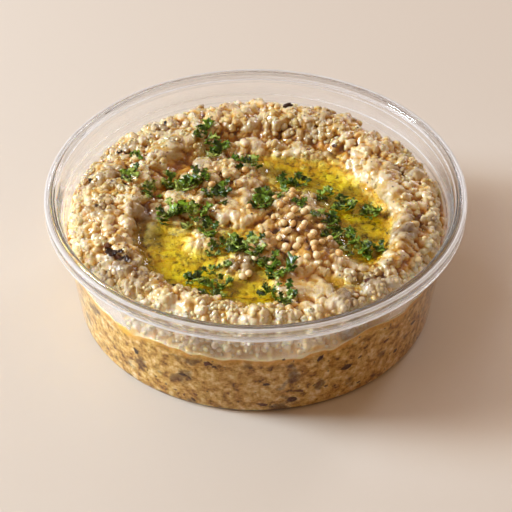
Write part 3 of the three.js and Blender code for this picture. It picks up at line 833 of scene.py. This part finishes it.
def auberginePuree(name, shine, index):
    # Roasted aubergine beaten with tahini: creamy curds that let some light in, golden-brown painted shade in
    # the crevices and seams between them and among the seeds, grey-brown patches of flesh and painted shade,
    # dark flecks of skin, and a wet, oily shine. Against the wall it is pressed flat with no air between, so
    # it doesn't shine, and it shows a tan mottle about 2 mm across, with a golden band where oil wets its
    # edge.
    material, add = newMaterial(name)
    spot = add("TexCoord").outputs["Object"]
    values = ("paintedCreviceShade", "own", "greyAndPaintedShade", "wet", "pressed", "below")
    named = {key: add("Attribute", attribute_name=key).outputs["Fac"] for key in values}
    curds = add("ValToRGB", [named["own"]], puree["curds"])
    tint = add("TexNoise", {"Vector": spot, "Scale": scaleFor(4.762), "Detail": 2})
    warm = add("MapRange", [tint, 0.5, 0.72, 0, 0.5])
    body = add("Mix", {0: warm, 6: curds, 7: puree["warm"]}, **colorMix)
    # Grey-brown flesh and painted shade, then the painted shade of crevices.
    body = add("Mix", {0: named["greyAndPaintedShade"], 6: body, 7: puree["greyAndPaintedShade"]}, **colorMix)
    creviceShadeRamp = add("ValToRGB", [named["paintedCreviceShade"]], puree["creviceShadeRamp"])
    body = add("Mix", {0: 1, 6: body, 7: creviceShadeRamp}, **colorMultiply)
    # Under the oil: yellower, with soft olive-brown specks 1 to 2 mm across.
    drift = add("TexNoise", {"Vector": spot, "Scale": scaleFor(3.03), "Detail": 2})
    warped = add("VectorMath", [
        drift.outputs["Color"], (0.0022, 0.0022, 0.0022), spot], operation="MULTIPLY_ADD")
    specks = add("TexNoise", {"Vector": warped, "Scale": scaleFor(2.083), "Detail": 4, "Roughness": 0.68})
    murk = add("MapRange", [specks, 0.5, 0.66, 0, 0.95])
    soaked = add("Mix", {0: murk, 6: puree["underOil"], 7: puree["speck"]}, **colorMix)
    body = add("Mix", {0: named["wet"], 6: body, 7: soaked}, **colorMultiply)
    # Against the wall.
    mottle = add("TexNoise", {"Vector": spot, "Scale": scaleFor(2.5), "Detail": 4, "Roughness": 0.72})
    pressed = add("ValToRGB", [mottle], puree["pressed"])
    wide = add("TexNoise", {"Vector": spot, "Scale": scaleFor(6.667), "Detail": 4})
    dull = add("MapRange", [wide, 0.57, 0.64, 0, 0.7])
    pressed = add("Mix", {0: dull, 6: pressed, 7: puree["dull"]}, **colorMix)
    band = add("MapRange", [named["below"], 0.3, 3, 0.85, 0])
    pressed = add("Mix", {0: band, 6: pressed, 7: puree["band"]}, **colorMix)
    lip = add("MapRange", [named["below"], 0.1, 0.7, 0.9, 0])
    pressed = add("Mix", {0: lip, 6: pressed, 7: puree["lip"]}, **colorMix)
    *pocketAt, pocketRadius = dip["oilPocket"]
    away = add("VectorMath", [warped, tuple(part * mm for part in pocketAt)], operation="DISTANCE")
    pocket = add("MapRange", [away.outputs["Value"], 0.75 * pocketRadius * mm, pocketRadius * mm, 0.85, 0])
    pressed = add("Mix", {0: pocket, 6: pressed, 7: puree["pocket"]}, **colorMix)
    whole = add("Mix", {0: named["pressed"], 6: body, 7: pressed}, **colorMix)
    # Flecks of skin about 0.6 mm across, in one cell of eleven.
    cells = add("TexVoronoi", {"Vector": spot, "Scale": scaleFor(1.613)}, feature="F1")
    dot = add("MapRange", [cells.outputs["Distance"], 0.12, 0.26, 0.85, 0])
    pick = add("SeparateColor", [cells.outputs["Color"]])
    few = add("MapRange", [pick, 0.9, 0.92, 0, 1])
    fleck = add("Math", [dot, few], operation="MULTIPLY")
    whole = add("Mix", {0: fleck, 6: whole, 7: puree["fleck"]}, **colorMix)
    fine = add("TexNoise", {"Vector": spot, "Scale": scaleFor(0.769), "Detail": 3, "Roughness": 0.6})
    bump = add("Bump", {"Height": fine, "Strength": 0.65, "Distance": 0.6 * mm})
    film = add("Bump", {"Height": fine, "Strength": 0.22, "Distance": 0.5 * mm})
    rough = add("MapRange", [fine, 0.35, 0.65, 0.2, 0.38])
    shader = add("BsdfPrincipled", {
        "Base Color": whole, "Roughness": rough, "IOR": index, "Subsurface Weight": 0.6,
        "Subsurface Radius": (1.0, 0.62, 0.16), "Subsurface Scale": 1.3 * mm, "Coat Weight": shine,
        "Coat Roughness": 0.07, "Coat IOR": 1.55, "Normal": bump, "Coat Normal": film})
    add("OutputMaterial", {"Surface": shader})
    return material


pureeMaterial = auberginePuree("auberginePuree", 1, 1.42)
dipPiece = makeDip([pureeMaterial, auberginePuree("pureeAgainstWall", 0, 1.1)])
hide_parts("dip")


# The oil

oil = {
    "climb": 1, "climbReach": 0.6,  # height up the dip at the edge, and the depth over which it falls away
    "under": 0.5,  # sunk in the dip
    "margin": 1.2,  # dip this far above the oil's level still counts as under it
    "reach": 38,  # from the basin's middle
    "gold": "#F3F83F", "density": 360,
    "pools": {"oil_pool_right": (28, 0), "oil_pool_left": (-14, -28)},  # a place in each pool
}


def poolCells(start):
    # The grid cells joined to a starting place over which the dip lies under the oil, found by spreading out.
    x, y, height = np.moveaxis(gridDip["points"], 2, 0)
    low = height < dip["oilLevel"] + oil["margin"]
    low &= np.hypot(x - dip["basin"][0], y - dip["basin"][1]) < oil["reach"]
    inside = low[:-1, :-1] & low[1:, :-1] & low[:-1, 1:] & low[1:, 1:]
    apart = np.where(inside, (x[:-1, :-1] - start[0]) ** 2 + (y[:-1, :-1] - start[1]) ** 2, np.inf)
    reached = np.zeros_like(inside)
    reached[np.unravel_index(np.argmin(apart), inside.shape)] = True
    before = 0
    while reached.sum() > before:
        before = reached.sum()
        for _ in range(20):
            spread = reached.copy()
            spread[1:] |= reached[:-1]
            spread[:-1] |= reached[1:]
            spread[:, 1:] |= reached[:, :-1]
            spread[:, :-1] |= reached[:, 1:]
            reached = spread & inside
    return reached


def makePool(name, start, material):
    # The oil lies level and climbs a little where it meets the dip; its underside is sunk in the dip.
    kept = poolCells(start).ravel()
    quads = gridFaces(dip["cells"])[kept]
    used, packed = np.unique(quads, return_inverse=True)
    x, y, height = gridDip["points"].reshape(-1, 3)[used].T
    depth = np.maximum(0, dip["oilLevel"] - height)
    top = dip["oilLevel"] + oil["climb"] * np.exp(-depth / oil["climbReach"])
    bottom = np.minimum(height, top) - oil["under"]
    points = np.concatenate([np.stack([x, y, top], axis=1), np.stack([x, y, bottom], axis=1)])
    return makePiece(name, points, closedSlab(len(used), packed.reshape(quads.shape)), [material])


def oliveOil():
    # Olive oil: a clear liquid whose green gold deepens with its depth. Lamps shine through it.
    material, add = newMaterial("oliveOil")
    shader = add("BsdfPrincipled", {
        "Base Color": "#FFFFFF", "Roughness": 0.02, "IOR": 1.47, "Transmission Weight": 1})
    gold = add("VolumeAbsorption", {"Color": oil["gold"], "Density": oil["density"]})
    path = add("LightPath")
    through = add("BsdfTransparent", {"Color": "#FFFFFF"})
    shown = add("MixShader", [path.outputs["Is Shadow Ray"], shader, through])
    add("OutputMaterial", {"Surface": shown, "Volume": gold})
    return material


oilMaterial = oliveOil()
for node, start in oil["pools"].items():
    pool = makePool(node.replace("oil_pool_", "oliveOil_"), start, oilMaterial)
    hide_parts(node)


# Loose curds that stand up from the dip

curds = {
    "pearly": [  # where curds lie thick: x, y, radius
        (-12, -43, 9), (4, -45, 8), (-28, -37, 8), (19, -42, 8), (32, -35, 8), (6, 36, 10), (20, 30, 8),
        (-18, 24, 7), (-40, 2, 7), (-42, -14, 6), (-10, 8, 7), (8, 20, 7), (29, -31, 7), (41, 0, 6),
        (-33, 26, 7),
    ],
    "sizes": {  # count, least and greatest radius, sides, rows
        "bigCurds": (260, 1, 1.5, 10, 8),
        "curds": (1350, 0.6, 0.95, 8, 6),
        "smallCurds": (1100, 0.34, 0.58, 7, 5),
        "wallCurds": (460, 0.6, 1.3, 9, 7),  # on the fall by the wall
    },
    "reach": 52.4, "dent": 0.2, "stray": 3, "strayByWall": 1,
    "sink": 0.66, "sinkByWall": 0.5, "lift": 0.35,  # shares of the radius
}


def makeCurds(name, kind, material):
    # Balls of dip on the grainy places, sunk past their middles, squashed, leaned and dented by slow waves.
    count, low, high, sides, rows = curds["sizes"][name]
    i = np.arange(count * 2) + 5000 * kind
    share = (i - i[0] + 0.5) / len(i)
    byWall = name == "wallCurds"
    out = curds["reach"] * (0.94 + 0.072 * share if byWall else np.sqrt(share) ** 0.96)
    stray = curds["strayByWall" if byWall else "stray"]
    sink = curds["sinkByWall" if byWall else "sink"]
    x = out * np.cos(i * goldenAngle) + stray * (draw(i, 41) - 0.5)
    y = out * np.sin(i * goldenAngle) + stray * (draw(i, 42) - 0.5)
    there = dipSurface(x, y)
    want = smooth(0.45, 0.95, there["amount"]) * (1 - amongSeeds(x, y)) * (1 - there["wet"])
    clump = 0.75 * smooth(-0.3, 0.6, noise(x, y, 6, 71 + kind))
    for spot in curds["pearly"]:
        clump = np.maximum(clump, bell(x, y, *spot))
    keep = ((want * clump > draw(i, 43)) | byWall) & (np.hypot(x, y) < curds["reach"] + 0.7)
    i, base, normal, greyAndPaintedShade, wet = i[keep], *(there[key][keep] for key in ("points", "normal", "greyAndPaintedShade", "wet"))
    radius = mix(low, high, draw(i, 44) ** 1.4)
    unit, faces = ball(sides, rows)
    shifts = 6 * draw(i, 45)[:, None], 6 * draw(i, 46)[:, None]
    waves = np.sin(3 * unit[:, 0] + shifts[0]) * np.cos(3 * unit[:, 1] + shifts[1])
    size = np.stack([0.85 + 0.45 * draw(i, 47), 0.85 + 0.3 * draw(i, 48), 0.9 + 0 * radius], axis=1)
    size = size * radius[:, None]
    shape = unit[None] * size[:, None, :] * (1 + curds["dent"] * waves)[:, :, None]
    turns = turnsAbout(0.6 * draw(i, 49), 6.3 * draw(i, 50), 6.3 * draw(i, 51))
    places = base + normal * (radius * (curds["lift"] * draw(i, 53) - sink))[:, None]
    points, allFaces = scatter(shape, faces, places, turns)
    above = np.einsum("nkj,nj->nk", points.reshape(len(i), -1, 3) - places[:, None, :], normal)
    points[:, 2] = np.minimum(points[:, 2], tub["rimHeight"] - 0.5)
    keepInTub(points, 0.15)
    # Curds by the wall are paler, as painted light on them in the rim's shade.
    values = {"own": mix(draw(i, 52), 1, 0.5 * byWall), "greyAndPaintedShade": greyAndPaintedShade * (0.3 + 0.7 * draw(i, 54)), "wet": wet,
              "pressed": 0 * radius, "below": 0 * radius}
    values = {key: np.repeat(numbers, len(unit)) for key, numbers in values.items()}
    # Each ball is darker towards its underside, as painted shade.
    values["paintedCreviceShade"] = (smooth(0.7, -0.6, above / radius[:, None]) * 0.5).ravel()
    return makePiece(name, points, allFaces, [material], values)


for kind, name in enumerate(curds["sizes"]):
    makeCurds(name, kind, pureeMaterial)


# Toasted sesame seeds

def onDip(x, y):
    # Points of the dip there, lifted to the oil's level where it lies under oil.
    points = dipSurface(x, y)["points"]
    points[:, 2] = np.maximum(points[:, 2], dip["oilLevel"] - 0.3)
    return points


def makeSeeds():
    # A ball drawn out to a blunt point at one end: its width shrinks with the root of the way along it.
    spots = []
    for kind, (atX, atY, long, wide, lean, count) in enumerate(seeds["patches"]):
        i = np.arange(count)
        out = np.sqrt((i + 0.5) / count)
        along = out * long * np.cos(i * goldenAngle) + seeds["stray"] * (draw(i, kind + 5) - 0.5)
        aside = out * wide * np.sin(i * goldenAngle) + seeds["stray"] * (draw(i, kind + 9) - 0.5)
        c, s = math.cos(math.radians(lean)), math.sin(math.radians(lean))
        spots.append(np.stack([atX + along * c - aside * s, atY + along * s + aside * c], axis=1))
    base = onDip(*np.concatenate(spots).T)
    i = np.arange(len(base))
    unit, faces = ball(seeds["sides"], seeds["rows"])
    taper = np.sqrt(np.clip(1 - 0.5 * (unit[:, 0] + 1) / 2, 0.2, 1))
    form = unit * np.array([seeds["length"], seeds["width"], seeds["thickness"]]) / 2
    form[:, 1:] *= taper[:, None]
    shape = form[None] * mix(*seeds["sizes"], draw(i, 61))[:, None, None]
    turns = turnsAbout(0.8 * draw(i, 62), 6.3 * draw(i, 63), 6.3 * draw(i, 64))
    lift = seeds["thickness"] / 2 - seeds["sink"] + 0.5 * draw(i, 66)
    points, allFaces = scatter(shape, faces, base + lift[:, None] * [0, 0, 1], turns)
    return makePiece("sesameSeeds", points, allFaces, [toastedSesame()],
                     {"own": np.repeat(draw(i, 65), len(unit)), "along": np.tile(unit[:, 0], len(i))})


def toastedSesame():
    # Toasted sesame: a golden, oily husk, browner at its point.
    material, add = newMaterial("toastedSesame")
    spot = add("TexCoord").outputs["Object"]
    own = add("Attribute", attribute_name="own").outputs["Fac"]
    along = add("Attribute", attribute_name="along").outputs["Fac"]
    husk = add("ValToRGB", [own], seeds["husk"])
    point = add("MapRange", [along, 0.3, 1, 0, 0.65])
    husk = add("Mix", {0: point, 6: husk, 7: seeds["point"]}, **colorMix)
    fine = add("TexNoise", {"Vector": spot, "Scale": scaleFor(0.7143), "Detail": 2})
    bump = add("Bump", {"Height": fine, "Strength": 0.2, "Distance": 0.2 * mm})
    shader = add("BsdfPrincipled", {
        "Base Color": husk, "Roughness": 0.34, "IOR": 1.47, "Subsurface Weight": 0.25,
        "Subsurface Radius": (1, 0.5, 0.2), "Subsurface Scale": 0.8 * mm, "Coat Weight": 0.5,
        "Coat Roughness": 0.12, "Normal": bump})
    add("OutputMaterial", {"Surface": shader})
    return material


makeSeeds()


# Chopped parsley

parsley = {
    "spots": [  # x, y, size across
        (-15.2, 28.4, 9), (-10.4, 21.1, 10), (-1.9, 14.9, 8), (-24.2, 9.8, 8), (-35.4, 9.3, 7),
        (-34.3, 17.3, 4), (-28.8, 3.8, 7), (-19.5, 5.1, 9), (-14.2, 8.4, 7), (-10.1, 1.9, 9),
        (-24.8, -5.3, 9), (-16.9, -5.7, 9), (-12.9, -12.3, 7), (5.5, 3.8, 7), (2, -2.1, 9), (8.7, 10.2, 7),
        (12.7, 11.2, 6), (25.1, -0.3, 8), (31.7, -3.9, 6.5), (12.7, -3.5, 5), (20.4, -9.2, 8),
        (20.7, -14, 7), (25.7, -14.9, 7), (28.2, -20.4, 7.5), (32.6, -18.7, 6.5), (-4, -18.7, 9),
        (-1, -20.9, 8), (-7.9, -17, 7), (3.3, -26.3, 9), (5.7, -30, 9), (4.3, -35.7, 7), (8, -40.9, 7),
        (-15.2, -32.1, 8), (-8.7, -32.9, 4.5), (-8.6, -27.1, 4), (-12.1, -27.5, 4), (-12.9, -37.7, 4.5),
        (-9.4, -38.9, 4.5), (-12.2, -20.4, 4.5), (18.8, 5.1, 6),
    ],
    "leaflets": 11, "along": 8, "aside": 3, "teeth": 2.6, "toothDepth": 0.6, "thickness": 0.08,
    "lengths": (0.2, 0.46), "widths": (0.26, 0.5),  # shares of the spot's size, and of the length
    "leaf": [(0, "#142C03"), (0.4, "#436E0E"), (0.75, "#8CAE2A"), (1, "#D6E27E")],
    "cut": "#BCD450", "shade": "#0E2202", "glow": "#9DBE3E",
}


def makeParsley():
    # Each spot holds some toothed leaflets that point outwards: a sheet over its length u and width v, whose
    # half width is a sine of u cut by teeth, folded up along its middle and curled at its tip.
    p = parsley
    spotX, spotY, across = np.repeat(np.array(p["spots"]), p["leaflets"], axis=0).T
    i = np.arange(len(across))
    heading = i * goldenAngle + 6.3 * draw(i, 71)
    offset = across * 0.4 * draw(i, 72)
    x = spotX + offset * np.cos(heading) + 0.8 * (draw(i, 73) - 0.5)
    y = spotY + offset * np.sin(heading) + 0.8 * (draw(i, 74) - 0.5)
    length = (across * mix(*p["lengths"], draw(i, 75)))[:, None]
    width = length * mix(*p["widths"], draw(i, 76))[:, None]
    u, v = np.meshgrid(np.linspace(0, 1, p["along"] + 1), np.linspace(-1, 1, p["aside"] + 1), indexing="ij")
    u, v = u.ravel(), v.ravel()
    teeth = 1 + p["toothDepth"] * np.sin(2 * math.pi * p["teeth"] * u + 6.3 * draw(i, 77)[:, None])
    half = width * np.sin(math.pi * np.clip(u, 0.04, 0.97)) ** 0.7 * teeth
    fold = (0.1 + 0.7 * draw(i, 78))[:, None]
    curl = (draw(i, 79) - 0.35)[:, None]
    rise = fold * np.abs(v) * half + curl * 0.6 * length * u ** 2
    rise = rise + 0.12 * length * np.sin(7 * u + 5 * v + 6.3 * draw(i, 80)[:, None])
    lengthwise = length * (u - 0.1 * np.abs(v))
    shape = np.concatenate([np.stack([lengthwise, v * half, rise + side * p["thickness"]], axis=2)
                            for side in (1, -1)], axis=1)
    columns = p["aside"] + 1
    a = (np.arange(p["along"])[:, None] * columns + np.arange(p["aside"])).ravel()
    faces = closedSlab(len(u), np.stack([a, a + columns, a + columns + 1, a + 1], axis=1))
    turns = turnsAbout(-0.05 - 0.6 * draw(i, 81), heading, 0.7 * (draw(i, 82) - 0.5))
    places = onDip(x, y) + (0.35 + 0.7 * draw(i, 83))[:, None] * [0, 0, 1]
    points, allFaces = scatter(shape, faces, places, turns)
    points[:, 2] = np.minimum(points[:, 2], tub["rimHeight"] - 0.4)
    values = {"own": np.repeat(draw(i, 84), shape.shape[1]), "edge": np.tile(np.abs(v), 2 * len(i))}
    return makePiece("choppedParsley", points, allFaces, [freshParsley()], values)


def freshParsley():
    # Fresh parsley: deep green and waxy, brighter at its cut edges, with light coming through thin places.
    material, add = newMaterial("freshParsley")
    spot = add("TexCoord").outputs["Object"]
    own = add("Attribute", attribute_name="own").outputs["Fac"]
    edge = add("Attribute", attribute_name="edge").outputs["Fac"]
    leaf = add("ValToRGB", [own], parsley["leaf"])
    bright = add("MapRange", [edge, 0.6, 1, 0, 0.5])
    leaf = add("Mix", {0: bright, 6: leaf, 7: parsley["cut"]}, **colorMix)
    vein = add("TexNoise", {"Vector": spot, "Scale": scaleFor(1.111), "Detail": 2})
    shade = add("MapRange", [vein, 0.35, 0.55, 0.85, 0])
    leaf = add("Mix", {0: shade, 6: leaf, 7: parsley["shade"]}, **colorMix)
    bump = add("Bump", {"Height": vein, "Strength": 0.4, "Distance": 0.3 * mm})
    waxy = add("BsdfPrincipled", {
        "Base Color": leaf, "Roughness": 0.36, "IOR": 1.42, "Coat Weight": 0.3, "Coat Roughness": 0.12,
        "Normal": bump, "Coat Normal": bump})
    glow = add("BsdfTranslucent", {"Color": parsley["glow"]})
    both = add("MixShader", [0.25, waxy, glow])
    add("OutputMaterial", {"Surface": both})
    return material


makeParsley()


# Charred skin

char = {
    "chunks": [  # x, y, size across
        (-40.6, -20.4, 2.8), (-39.4, -21.8, 3.6), (-38.4, -23.2, 3.2), (-37.4, -24.4, 3.6),
        (-36.2, -25.8, 3.2), (-34.9, -27.2, 2.4), (-39.2, -24.2, 2.2), (-36.8, -23.4, 2), (-22, -34, 2.2),
        (32, -32.6, 2.8), (30, -34, 2.2), (9.6, 42, 3), (23.5, 27, 2.6), (22, 28.4, 1.8), (-39.3, 21, 2.4),
        (-46.6, 9.5, 2.6), (46, -6, 2.4), (43, -10, 2), (16, 24, 2.4), (-27, 36, 2.4), (-44.5, -3.5, 2.2),
    ],
    "flakes": 620, "flakeSize": (0.2, 0.85), "spread": 51, "reach": 51.5, "proud": 0.15,
    "sides": 7, "rows": 4,
    "wallChips": [  # degrees round the tub, height, size across
        (256, 19, 3.2), (248, 12, 3), (289, 20, 3.4), (283, 8, 4), (272, 3.4, 3.4), (251, 5, 2.4),
        (281, 5, 4.5), (273, 12, 2.6), (298, 13, 4.5), (312, 16, 3), (318, 8, 4), (325, 14, 3.6),
        (232, 14, 2.6), (222, 9, 2.2),
    ],
    "wallFlakes": 420, "wallFlakeSize": (0.5, 2.2), "flattened": 0.14,
    "finishes": [  # name, colours from thick to thin, index of refraction and wetness, on top and by the wall
        ("charredSkin", [(0, "#1C0E07"), (0.4, "#32180A"), (0.75, "#562A10"), (1, "#784820")], 1.4, 0.12),
        ("skinAgainstWall", [(0, "#2A1002"), (0.4, "#421D04"), (0.75, "#663008"), (1, "#885014")], 1.1, 0),
    ],
    "thin": "#5A3C28",
}


def skinScraps(places, size, heading, lean, kind):
    # Flat balls with their points pushed in and out at random.
    i = np.arange(len(size)) + kind
    unit, faces = ball(char["sides"], char["rows"])
    k = np.arange(len(unit))
    jag = 0.6 + 0.7 * draw(k[None, :] + 13 * i[:, None], 94)
    stretch = np.stack([size, size * (0.4 + 0.4 * draw(i, 95)), size * (0.25 + 0.2 * draw(i, 96))], axis=1)
    shape = unit[None] * stretch[:, None, :] * jag[:, :, None]
    points, allFaces = scatter(shape, faces, places, turnsAbout(lean, heading, 6.3 * draw(i, 99)))
    return points, allFaces, {"own": np.repeat(draw(i, 100), len(unit))}


def makeChar(material):
    # The named chunks and evenly spread flakes, each low on the dip, with hard facets.
    i = np.arange(char["flakes"])
    out = char["spread"] * np.sqrt((i + 0.5) / len(i))
    spread = np.stack([out * np.cos(i * goldenAngle + 1), out * np.sin(i * goldenAngle + 1)], axis=1)
    spread += 5 * (np.stack([draw(i, 91), draw(i, 92)], axis=1) - 0.5)
    chunks = np.array(char["chunks"])
    x, y = np.concatenate([chunks[:, :2], spread]).T
    size = np.concatenate([chunks[:, 2], mix(*char["flakeSize"], draw(i, 93) ** 3)]) / 2
    i = np.flatnonzero(np.hypot(x, y) < char["reach"])
    x, y, size = x[i], y[i], size[i]
    there = dipSurface(x, y)
    places = there["points"] + there["normal"] * np.minimum(0.25 * size, char["proud"])[:, None]
    points, faces, values = skinScraps(places, size, 6.3 * draw(i, 98), 0.6 * draw(i, 97), 0)
    points[:, 2] = np.minimum(points[:, 2], tub["rimHeight"] - 0.4)
    piece = makePiece("charredSkin", points, faces, [material], values)
    piece.data.shade_flat()
    return piece


def makeWallChips(material):
    # Scraps pressed against the wall, flattened to its curve: each point's distance from the wall is shrunk.
    chipTurn, chipHeight, chipSize = np.array(char["wallChips"]).T
    i = np.arange(char["wallFlakes"])
    turn = np.concatenate([np.radians(chipTurn), i * goldenAngle])
    share = (i + 0.5) / len(i) * 7.3 % 1
    z = np.concatenate([chipHeight, 1.6 + (wallLine(i * goldenAngle) - 2.4) * share])
    size = np.concatenate([chipSize, mix(*char["wallFlakeSize"], draw(i, 111) ** 4)]) / 2
    k = np.arange(len(size))
    places = circled(innerRadius(z), turn, z)
    points, faces, values = skinScraps(places, size, 6.3 * draw(k, 112), 1.6 * draw(k, 113), 700)
    outwards = np.hypot(points[:, 0], points[:, 1])
    wall = innerRadius(points[:, 2]) + dip["intoWall"]
    flat = wall + char["flattened"] * (outwards - wall).clip(-1, 0.6) + 0.02
    points[:, :2] *= (flat / outwards)[:, None]
    points[:, 2] = np.maximum(points[:, 2], 1.3)
    return makePiece("pressedSkin", points, faces, [material], values)


def charredSkin(name, stops, index, shine):
    # Charred aubergine skin: near black with dark red-brown where it is thin, and wet.
    material, add = newMaterial(name)
    spot = add("TexCoord").outputs["Object"]
    own = add("Attribute", attribute_name="own").outputs["Fac"]
    skin = add("ValToRGB", [own], stops)
    fine = add("TexNoise", {"Vector": spot, "Scale": scaleFor(1.111), "Detail": 3})
    pale = add("MapRange", [fine, 0.5, 0.75, 0, 0.4])
    skin = add("Mix", {0: pale, 6: skin, 7: char["thin"]}, **colorMix)
    bump = add("Bump", {"Height": fine, "Strength": 0.6, "Distance": 0.3 * mm})
    shader = add("BsdfPrincipled", {
        "Base Color": skin, "Roughness": 0.42, "IOR": index, "Coat Weight": shine, "Coat Roughness": 0.1,
        "Normal": bump})
    add("OutputMaterial", {"Surface": shader})
    return material


skinOnTop, skinByWall = [charredSkin(*finish) for finish in char["finishes"]]
makeChar(skinOnTop)
makeWallChips(skinByWall)

print("all pieces are in place")
